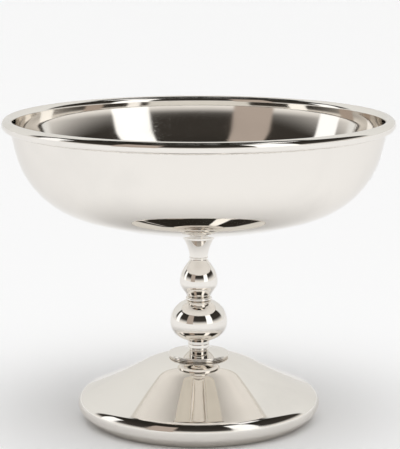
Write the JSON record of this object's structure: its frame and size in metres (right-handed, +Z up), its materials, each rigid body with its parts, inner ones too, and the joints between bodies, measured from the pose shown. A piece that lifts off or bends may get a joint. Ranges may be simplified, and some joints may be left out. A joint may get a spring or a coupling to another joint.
{
  "type": "footed sundae cup",
  "caption": "Polished steel dessert dish: a round bowl with a rolled rim, clamped by a stud and nut to a turned, knopped stem and a spun hollow foot.",
  "frame": {"origin": "centre of the foot, on the surface the dish stands on", "axes": "+Z up along the dish's axis of revolution, towards the rim"},
  "size_m": [0.12, 0.12, 0.0947],
  "materials": {
    "polished_sheet": "mirror-polished stainless steel sheet",
    "polished_turned": "mirror-polished turned stainless steel",
    "fastener_steel": "plain machined steel"
  },
  "bodies": {
    "root": {"bowl": "polished_sheet", "bowl_stud": "fastener_steel", "stem_flare": "polished_turned", "upper_knop": "polished_turned", "middle_bead": "polished_turned", "lower_knop": "polished_turned", "lower_bead": "polished_turned", "base_collar": "polished_turned", "foot": "polished_sheet", "clamp_washer": "fastener_steel", "lock_washer": "fastener_steel", "clamp_nut": "fastener_steel"}
  },
  "joints": []
}
